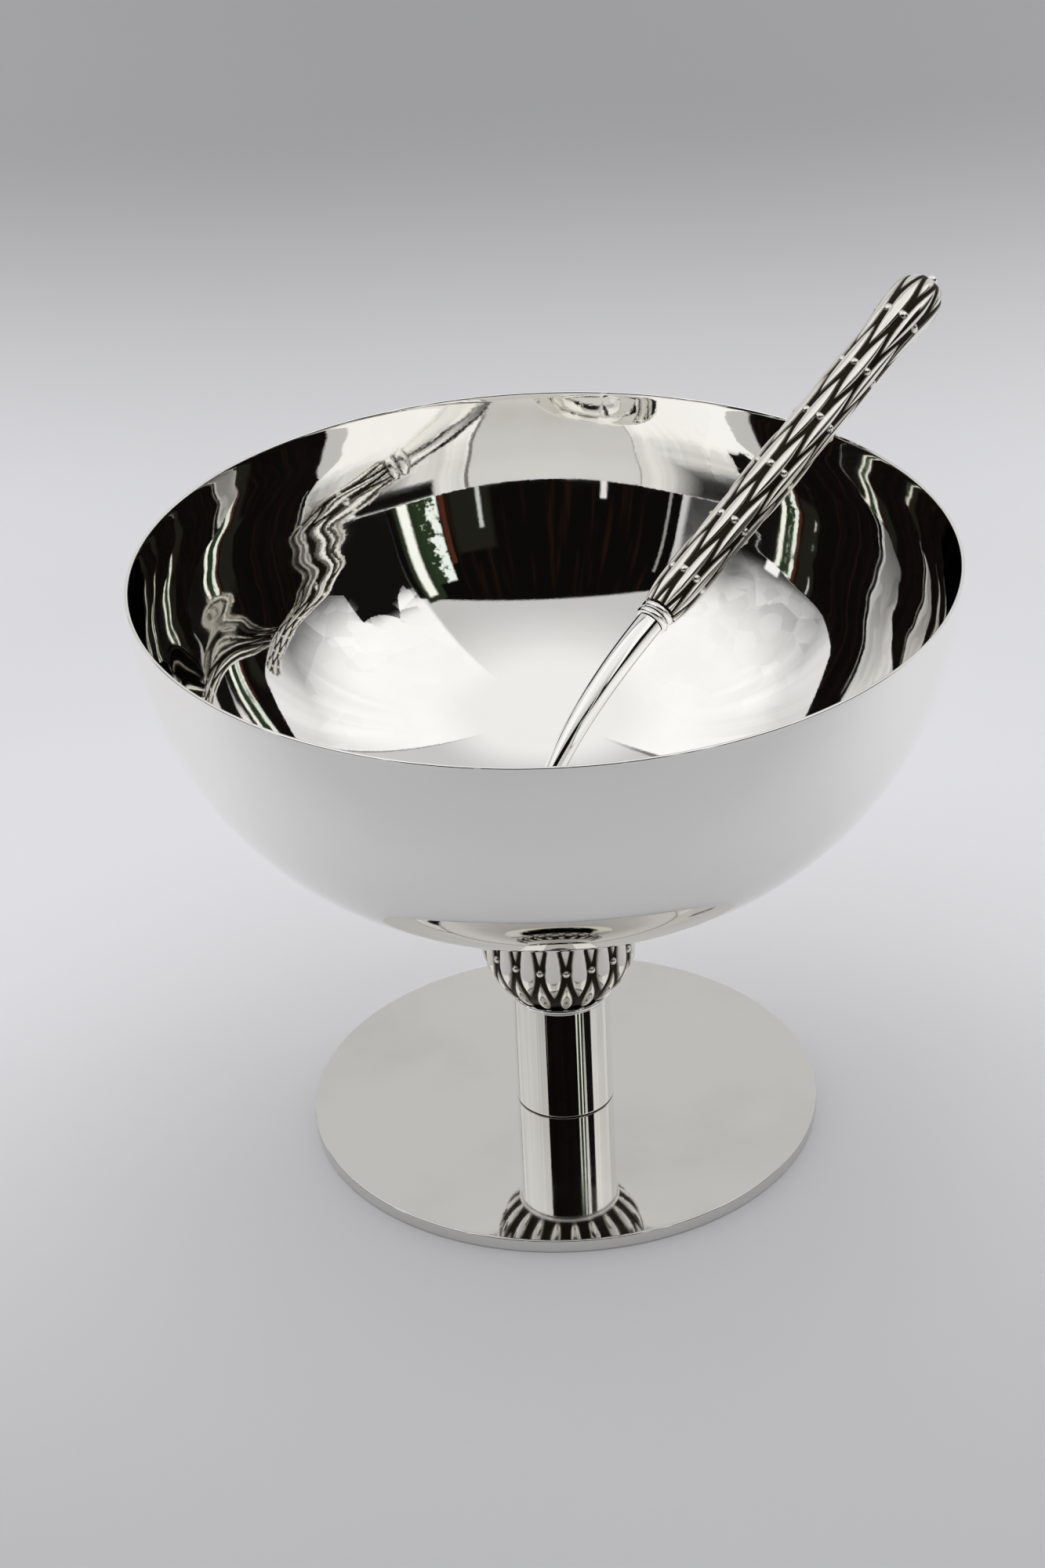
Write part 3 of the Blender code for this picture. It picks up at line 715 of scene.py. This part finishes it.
def make_shank():
    """Tang and tapering shank in one, swept along its curve and shaped onto the cup's wall."""
    route = shank_route()
    rings = tang_rings()
    for i in range(SHANK_ROWS):
        t = i / SHANK_ROWS
        spot, heading = bezier(route, t)
        girth = SHANK_TOP + (SHANK_FOOT - SHANK_TOP) * t ** SHANK_TAPER
        if (route[3] - spot).length < SHANK_FOOT * 1.6:
            break
        rings.append(ring_points(spot, heading, girth))
    toward = (heading - CUP_FORE).normalized()
    foot = ring_points(spot, heading, girth)
    for share in (0.5, 1.0):
        rings.append([point.lerp(onto_cup(point, toward), share) for point in foot])
    bm = bmesh.new()
    made = [[bm.verts.new(p) for p in ring] for ring in rings]
    for a, b in zip(made, made[1:]):
        for k in range(SHANK_ROUND):
            m = (k + 1) % SHANK_ROUND
            bm.faces.new((a[k], b[k], b[m], a[m]))
    tips = (RINGS_AT + ALONG * (TANG_LENGTH - GRIP_START), onto_cup(spot, toward))
    for ring, tip in zip((made[0], made[-1]), tips):
        centre = bm.verts.new(tip)
        for k in range(SHANK_ROUND):
            bm.faces.new((ring[k], ring[(k + 1) % SHANK_ROUND], centre))
    piece("ladle_neck", bm, SILVER, "ladle", "ladle_shank", sharp=50.0)


def make_shank_ring(name, node, low):
    """Half-round ring on the tang, from a height along the handle."""
    bore = TANG_RADIUS + GAP
    high = low + RING_WIDTH
    soft = RING_WIDTH / 2.0
    edge = arc((RING_RADIUS - soft, low + soft), soft, -90.0, 90.0, 14)
    bm = turned([(bore, low)] + edge + [(bore, high)], RING_ROUND, True)
    piece(name, bm, SILVER, "ladle", node, HANDLE)


def make_grip():
    """Handle with a bore for the tang at one end and one for the button's peg at the other."""
    low = GRIP_START
    high = low + GRIP_LENGTH
    bore = TANG_RADIUS + GAP
    deep = TANG_LENGTH - GRIP_START + GAP
    hole = PEG_RADIUS + GAP
    shape = [(0.0, deep), (bore, deep), (bore, low)]
    # rows crowd together over the last tenth, where the handle rounds off
    end = 0.1
    for i in range(GRIP_ROWS + 1):
        share = i / GRIP_ROWS
        if share > 1.0 - end:
            share = 1.0 - end + end * math.sin((share - 1.0 + end) / end * math.pi / 2.0)
        far = low + GRIP_LENGTH * share
        shape.append((grip_crest(far), far))
    shape += [(hole, high), (hole, high - PEG_LENGTH - GAP), (0.0, high - PEG_LENGTH - GAP)]
    bm = turned(shape, GRIP_COLUMNS * LEAF_STEPS, start=GRIP_TURN)
    emboss(bm, grip_crest, grip_height, grip_relief, low - TOUCH, high - TOUCH)
    piece("leaf_handle", bm, CAST, "ladle", "ladle_grip", HANDLE, sharp=75.0)


def make_button():
    """Round button on a peg."""
    top = GRIP_START + GRIP_LENGTH
    seat = top + GAP
    middle_at = seat + BUTTON_RADIUS * 0.8
    shape = [(0.0, top - PEG_LENGTH), (PEG_RADIUS, top - PEG_LENGTH), (PEG_RADIUS, seat)]
    shape += arc((0.0, middle_at), BUTTON_RADIUS, -53.0, 90.0, 20)
    shape[-1] = (0.0, middle_at + BUTTON_RADIUS)
    bm = turned(shape, SHANK_ROUND)
    piece("handle_button", bm, SILVER, "ladle", "grip_button", HANDLE)


# ---- studio -------------------------------------------------------------------------------------
FLOOR_SIZE = 6.0
FLOOR_COLOUR = (0.82, 0.82, 0.8487)
# painted light and shade in the floor's colour, by the distance back, to the front, to the side and
# from the bowl, where painted light lifts the bowl's shade: two distances in metres, then the level at
# each
PAINTED_SHADE_FLOOR_BACK = (0.42, 1.0, 1.0, 0.50)
PAINTED_SHADE_FLOOR_FRONT = (-0.26, 0.10, 0.69, 1.0)
PAINTED_LIGHT_FLOOR_SIDE = (0.08, 0.45, 0.97, 1.06)
PAINTED_LIGHT_FLOOR_NEAR = (0.16, 0.46, 1.13, 1.0)
FLOOR_CLOUDS = (0.3, 0.7, 0.985, 1.0)


def make_floor():
    """Large pale sheet under the bowl, with light and shade painted into its colour: brighter round the
    bowl and to the sides, darker far back and to the front.
    """
    bm = bmesh.new()
    bmesh.ops.create_circle(bm, cap_ends=True, radius=FLOOR_SIZE, segments=96)
    mesh = bpy.data.meshes.new("floor")
    bm.to_mesh(mesh)
    bm.free()
    floor = bpy.data.objects.new("floor", mesh)
    bpy.context.scene.collection.objects.link(floor)
    mat = bpy.data.materials.new("pale paper with painted light")
    mat.use_nodes = True
    g = Graph(mat.node_tree)
    out = g.node("ShaderNodeOutputMaterial")
    shader = g.node("ShaderNodeBsdfPrincipled")
    g.tree.links.new(shader.outputs[0], out.inputs[0])
    place = g.node("ShaderNodeTexCoord").outputs["Object"]
    split = g.node("ShaderNodeSeparateXYZ")
    g.put(split.inputs[0], place)
    x, y = split.outputs[0], split.outputs[1]
    far = g.math("SQRT", g.math("ADD", g.math("MULTIPLY", x, x), g.math("MULTIPLY", y, y)))
    # painted light and shade: the colour darkens far back and to the front, and lightens to the sides and
    # round the bowl
    level = g.math("MULTIPLY", g.ramp(y, *PAINTED_SHADE_FLOOR_BACK), g.ramp(y, *PAINTED_SHADE_FLOOR_FRONT))
    level = g.math("MULTIPLY", level, g.ramp(g.math("ABSOLUTE", x), *PAINTED_LIGHT_FLOOR_SIDE))
    level = g.math("MULTIPLY", level, g.ramp(g.noise(place, 2.5, 4.0), *FLOOR_CLOUDS))
    level = g.math("MULTIPLY", level, g.ramp(far, *PAINTED_LIGHT_FLOOR_NEAR))
    shade = g.node("ShaderNodeCombineColor")
    for socket, share in zip(shade.inputs, FLOOR_COLOUR):
        g.put(socket, g.math("MULTIPLY", level, share))
    g.put(shader.inputs["Base Color"], shade.outputs[0])
    shader.inputs["Roughness"].default_value = 0.9
    shader.inputs["Specular IOR Level"].default_value = 0.1
    mesh.materials.append(mat)


# The world is set by direction. Turns are degrees sideways from the front, + to the right, and
# heights are degrees above level. A span is (low, high, soft edge); a slope is (low, high, level at
# low, level at high).
SIDE_WALL = (8.0, 46.0, 0.22, 1.02)
CREASE_DEPTH = (20.0, 50.0, 0.70, 0.06)
# the side walls fall into shade low down, over these turns
RIGHT_SHADE = (46.0, 112.0, 6.0)
RIGHT_SHADE_TOP = (12.0, 38.0, 0.85, 0.0)
LEFT_SHADE = (-66.0, -40.0, 5.0)
LEFT_SHADE_TOP = (16.0, 42.0, 0.70, 0.0)
# the cloth behind hangs in streaks
HANG_GRAIN = (0.16, 0.006)
HANG_LEVEL = (0.3, 0.7, -0.16, 0.04)
HANG_FROM = (90.0, 105.0)
HANG_TOP = (40.0, 62.0, 1.0, 0.0)
# light of the walls behind: two slopes over the turn to either side
REAR_LEVEL = 0.48
REAR_RISE = (80.0, 120.0)
REAR_MORE = 0.34
REAR_FROM = (88.0, 112.0)
# plain back wall between two corners, and the dark seams there
BACK_CORNERS = (-140.0, 125.0)
BACK_EDGE = 0.6
BACK_LEVEL = (10.0, 62.0, 0.70, 0.60)
LEFT_SEAM = (-141.4, -139.2, 0.5)
LEFT_SEAM_DARK = 0.8
RIGHT_SEAM = (124.7, 125.4, 0.2)
RIGHT_SEAM_DARK = 0.6
SEAM = (0.06, 0.05, 0.045, 1.0)
# cloth over the open front, and the roof
FRONT = (-44.0, 45.0, 1.0)
FRONT_LEVEL = (46.0, 74.0, 0.57, 0.86)
ROOF_FROM = (62.0, 76.0)
ROOF = (0.90, 0.90, 0.90, 1.0)
# creases: size and share of the broad ones and of the fine ones, and their middle value
BROAD_CREASES = (4.5, 0.62)
FINE_CREASES = (11.0, 0.38)
CREASE_MIDDLE = 0.55
# right of the opening the tent wall is in the dark, with a creased edge; low on the left it is open
UNLIT = (0.006, 0.0055, 0.005, 1.0)
UNLIT_FROM = (45.0, 46.5)
UNLIT_TO = (62.0, 74.0, 1.0, 0.0)
UNLIT_TOP = (34.0, 42.0, 1.0, 0.0)
UNLIT_CREASE = (18.0, 14.0)
LEFT_OPEN = (-122.0, -58.0, 1.5)
LEFT_OPEN_TOP = (13.0, 19.0, 1.0, 0.0)
# open front of the tent, as seen on an upright sheet one unit ahead
OPENING = (-0.90, 1.04, 0.01)
OPENING_TOP = (1.11, 1.15, 1.0, 0.0)
# dark room behind it, with faint brown streaks
ROOM = (0.0035, 0.0032, 0.003, 1.0)
ROOM_GLOW = (0.017, 0.007, 0.004, 1.0)
ROOM_GRAIN = (0.30, 0.02)
ROOM_STREAKS = (0.52, 0.75)
# things in the room: turns, heights, colour, soft edge
PANELS = [
    # shelf and a lamp on it
    (15.0, 27.0, -10.0, 27.0, (0.014, 0.014, 0.010, 1.0), 1.0),
    (17.8, 19.0, 7.0, 20.0, (0.55, 0.58, 0.55, 1.0), 0.4),
    # wall lamp and the frame of the tent
    (-19.4, -17.6, -8.0, 12.5, (0.80, 0.78, 0.76, 1.0), 0.3),
    (-38.9, -38.1, -8.0, 34.0, (0.30, 0.29, 0.27, 1.0), 0.3),
    # curtain, window frame and the window's bright edge
    (28.6, 30.2, -5.0, 30.0, (0.07, 0.022, 0.012, 1.0), 0.3),
    (37.0, 44.0, 4.0, 41.0, (0.02, 0.03, 0.015, 1.0), 0.5),
    (39.6, 42.6, 5.0, 39.0, (0.98, 1.0, 0.92, 1.0), 0.5),
    # narrow window far to the left
    (-78.0, -72.5, -10.0, 16.0, (0.95, 0.95, 0.95, 1.0), 0.5),
]
# garden through the window: leaves against the sky, more leaves to its right
PANE = (30.8, 37.6, 0.4)
PANE_HEIGHT = (6.0, 36.0, 0.5)
GARDEN_GRAIN = 22.0
GARDEN_SLOPE = (31.0, 37.5, 0.12, -0.14)
SKY_FROM = (0.46, 0.58)
LEAVES = (0.022, 0.038, 0.016, 1.0)
SKY = (0.86, 0.93, 0.86, 1.0)
# what the camera sees behind the floor, and how much stronger the world lights matt things
BACKDROP = (0.34, 0.345, 0.355, 1.0)
DIFFUSE_GAIN = 1.47


def crumple(g, way, scale):
    """Angular patches, 0 to 1, as on creased cloth."""
    cells = g.node("ShaderNodeTexVoronoi")
    g.put(cells.inputs["Vector"], way)
    g.put(cells.inputs["Scale"], scale)
    parts = g.node("ShaderNodeSeparateColor")
    g.put(parts.inputs[0], cells.outputs["Color"])
    return parts.outputs[0]


def streaks(g, turn, tall, grain, detail):
    """Noise drawn out upright."""
    upright = g.node("ShaderNodeCombineXYZ")
    g.put(upright.inputs[0], g.math("MULTIPLY", turn, grain[0]))
    g.put(upright.inputs[1], g.math("MULTIPLY", tall, grain[1]))
    return g.noise(upright.outputs[0], 1.0, detail)


def shaded_side(g, turn, tall, span, top):
    """How deep one side wall is in shade."""
    return g.math("MULTIPLY", g.window(turn, *span), g.ramp(tall, *top))


def seam(g, turn, span, dark):
    """Upright dark line."""
    return g.math("MULTIPLY", g.window(turn, *span), dark)


def tent_light(g, turn, tall, folds):
    """Light of the tent by direction: creased side walls, plain back, front strip and roof."""
    creases = g.math("ADD", g.math("MULTIPLY", folds, g.ramp(tall, *CREASE_DEPTH)), 1.0)
    walls = g.math("MULTIPLY", g.ramp(tall, *SIDE_WALL), creases)
    right = shaded_side(g, turn, tall, RIGHT_SHADE, RIGHT_SHADE_TOP)
    left = shaded_side(g, turn, tall, LEFT_SHADE, LEFT_SHADE_TOP)
    walls = g.math("MULTIPLY", walls, g.math("SUBTRACT", 1.0, g.math("MAXIMUM", left, right)))
    aside = g.math("ABSOLUTE", turn)
    hang = g.ramp(streaks(g, turn, tall, HANG_GRAIN, 3.0), *HANG_LEVEL)
    hang = g.math("MULTIPLY", hang, g.ramp(aside, *HANG_FROM))
    hang = g.math("MULTIPLY", hang, g.ramp(tall, *HANG_TOP))
    rear = g.math("MULTIPLY", g.ramp(aside, *REAR_RISE), REAR_MORE)
    rear = g.math("MULTIPLY", g.math("ADD", rear, REAR_LEVEL), g.ramp(aside, *REAR_FROM))
    walls = g.math("MULTIPLY", g.math("MAXIMUM", walls, rear), g.math("ADD", hang, 1.0))
    low, high = BACK_CORNERS
    is_back = g.math("MAXIMUM", g.ramp(turn, low - BACK_EDGE, low + BACK_EDGE, 1.0, 0.0),
                     g.ramp(turn, high - BACK_EDGE, high + BACK_EDGE))
    level = g.mix(is_back, walls, g.ramp(tall, *BACK_LEVEL))
    seams = g.math("MAXIMUM", seam(g, turn, LEFT_SEAM, LEFT_SEAM_DARK),
                   seam(g, turn, RIGHT_SEAM, RIGHT_SEAM_DARK))
    level = g.mix(seams, level, SEAM)
    level = g.mix(g.window(turn, *FRONT), level, g.ramp(tall, *FRONT_LEVEL))
    return g.mix(g.ramp(tall, *ROOF_FROM), level, ROOF)


def unlit_parts(g, turn, tall, folds):
    """1 where the tent is dark or open beside its front."""
    bent = g.math("ADD", turn, g.math("MULTIPLY", folds, UNLIT_CREASE[0]))
    lifted = g.math("ADD", tall, g.math("MULTIPLY", folds, UNLIT_CREASE[1]))
    unlit = g.math("MULTIPLY", g.ramp(turn, *UNLIT_FROM), g.ramp(bent, *UNLIT_TO))
    unlit = g.math("MULTIPLY", unlit, g.ramp(lifted, *UNLIT_TOP))
    left_open = g.math("MULTIPLY", g.window(turn, *LEFT_OPEN), g.ramp(tall, *LEFT_OPEN_TOP))
    return g.math("MAXIMUM", unlit, left_open)


def front_opening(g, x, z, ahead):
    """1 inside the straight-edged opening of the tent's front."""
    across = g.math("DIVIDE", x, g.math("MAXIMUM", ahead, 0.0001))
    upward = g.math("DIVIDE", z, g.math("MAXIMUM", ahead, 0.0001))
    opening = g.math("MULTIPLY", g.window(across, *OPENING), g.ramp(upward, *OPENING_TOP))
    return g.math("MULTIPLY", opening, g.ramp(ahead, 0.0, 0.02))


def add_window(g, way, turn, tall, colour):
    """Lays the things of the room and the garden over a colour."""
    for left, right, low, high, paint, soft in PANELS:
        mask = g.math("MULTIPLY", g.window(turn, left, right, soft), g.window(tall, low, high, soft))
        colour = g.mix(mask, colour, paint)
    sky = g.math("ADD", g.noise(way, GARDEN_GRAIN, 4.0), g.ramp(turn, *GARDEN_SLOPE))
    garden = g.mix(g.ramp(sky, *SKY_FROM), LEAVES, SKY)
    pane = g.math("MULTIPLY", g.window(turn, *PANE), g.window(tall, *PANE_HEIGHT))
    return g.mix(pane, colour, garden)


def make_world():
    """Bright tent all round, open at the front to a dark room with a window."""
    world = bpy.data.worlds.new("studio")
    bpy.context.scene.world = world
    world.use_nodes = True
    g = Graph(world.node_tree)
    way = g.node("ShaderNodeTexCoord").outputs["Generated"]
    split = g.node("ShaderNodeSeparateXYZ")
    g.put(split.inputs[0], way)
    x, y, z = split.outputs
    ahead = g.math("MULTIPLY", y, -1.0)
    turn = g.math("DEGREES", g.math("ARCTAN2", x, ahead))
    tall = g.math("DEGREES", g.math("ARCSINE", z))
    broad, fine = [g.math("MULTIPLY", crumple(g, way, scale), share)
                   for scale, share in (BROAD_CREASES, FINE_CREASES)]
    folds = g.math("SUBTRACT", g.math("ADD", broad, fine), CREASE_MIDDLE)
    colour = tent_light(g, turn, tall, folds)
    colour = g.mix(unlit_parts(g, turn, tall, folds), colour, UNLIT)
    glow = g.ramp(streaks(g, turn, tall, ROOM_GRAIN, 2.0), *ROOM_STREAKS)
    colour = g.mix(front_opening(g, x, z, ahead), colour, g.mix(glow, ROOM, ROOM_GLOW))
    colour = add_window(g, way, turn, tall, colour)
    path = g.node("ShaderNodeLightPath")
    colour = g.mix(path.outputs["Is Camera Ray"], colour, BACKDROP)
    light = g.node("ShaderNodeBackground")
    g.put(light.inputs[0], colour)
    gain = g.math("MULTIPLY", path.outputs["Is Diffuse Ray"], DIFFUSE_GAIN - 1.0)
    g.put(light.inputs[1], g.math("ADD", gain, 1.0))
    out = g.node("ShaderNodeOutputWorld")
    g.tree.links.new(light.outputs[0], out.inputs[0])


# camera: place in metres, the way its right side and its lens point, and the lens in millimetres
CAMERA_AT = (0.0, -1.04691, 0.72276)
CAMERA_RIGHT = (0.9991, -0.0137, -0.0401)
CAMERA_AHEAD = (-0.008, 0.868, -0.4965)
CAMERA_LENS = 86.30
SENSOR = 36.0


def make_camera():
    """Camera at the photo's viewing angle."""
    data = bpy.data.cameras.new("camera")
    data.sensor_fit = "VERTICAL"
    data.sensor_height = SENSOR
    data.lens = CAMERA_LENS
    data.clip_start = 0.01
    camera = bpy.data.objects.new("camera", data)
    camera.location = CAMERA_AT
    right = Vector(CAMERA_RIGHT).normalized()
    forward = Vector(CAMERA_AHEAD).normalized()
    up = right.cross(forward).normalized()
    right = forward.cross(up)
    camera.rotation_euler = Matrix((right, up, -forward)).transposed().to_euler()
    bpy.context.scene.collection.objects.link(camera)
    bpy.context.scene.camera = camera


def main():
    make_camera()
    make_world()
    make_floor()
    make_foot()
    make_stem()
    make_neck_ring()
    make_collar()
    make_bowl()
    make_cup()
    make_shank()
    make_shank_ring("neck_ring_low", "shank_ring_lower", -RING_WIDTH - GAP * 0.5)
    make_shank_ring("neck_ring_high", "shank_ring_upper", GAP * 0.5)
    make_grip()
    make_button()
    for node, look in (("bowl_boss", DULL_SILVER), ("stem_spigot", DULL_SILVER), ("tie_stud", BRASS)):
        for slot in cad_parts[node].material_slots:
            slot.material = look
    bpy.context.scene.view_settings.view_transform = "Standard"


main()
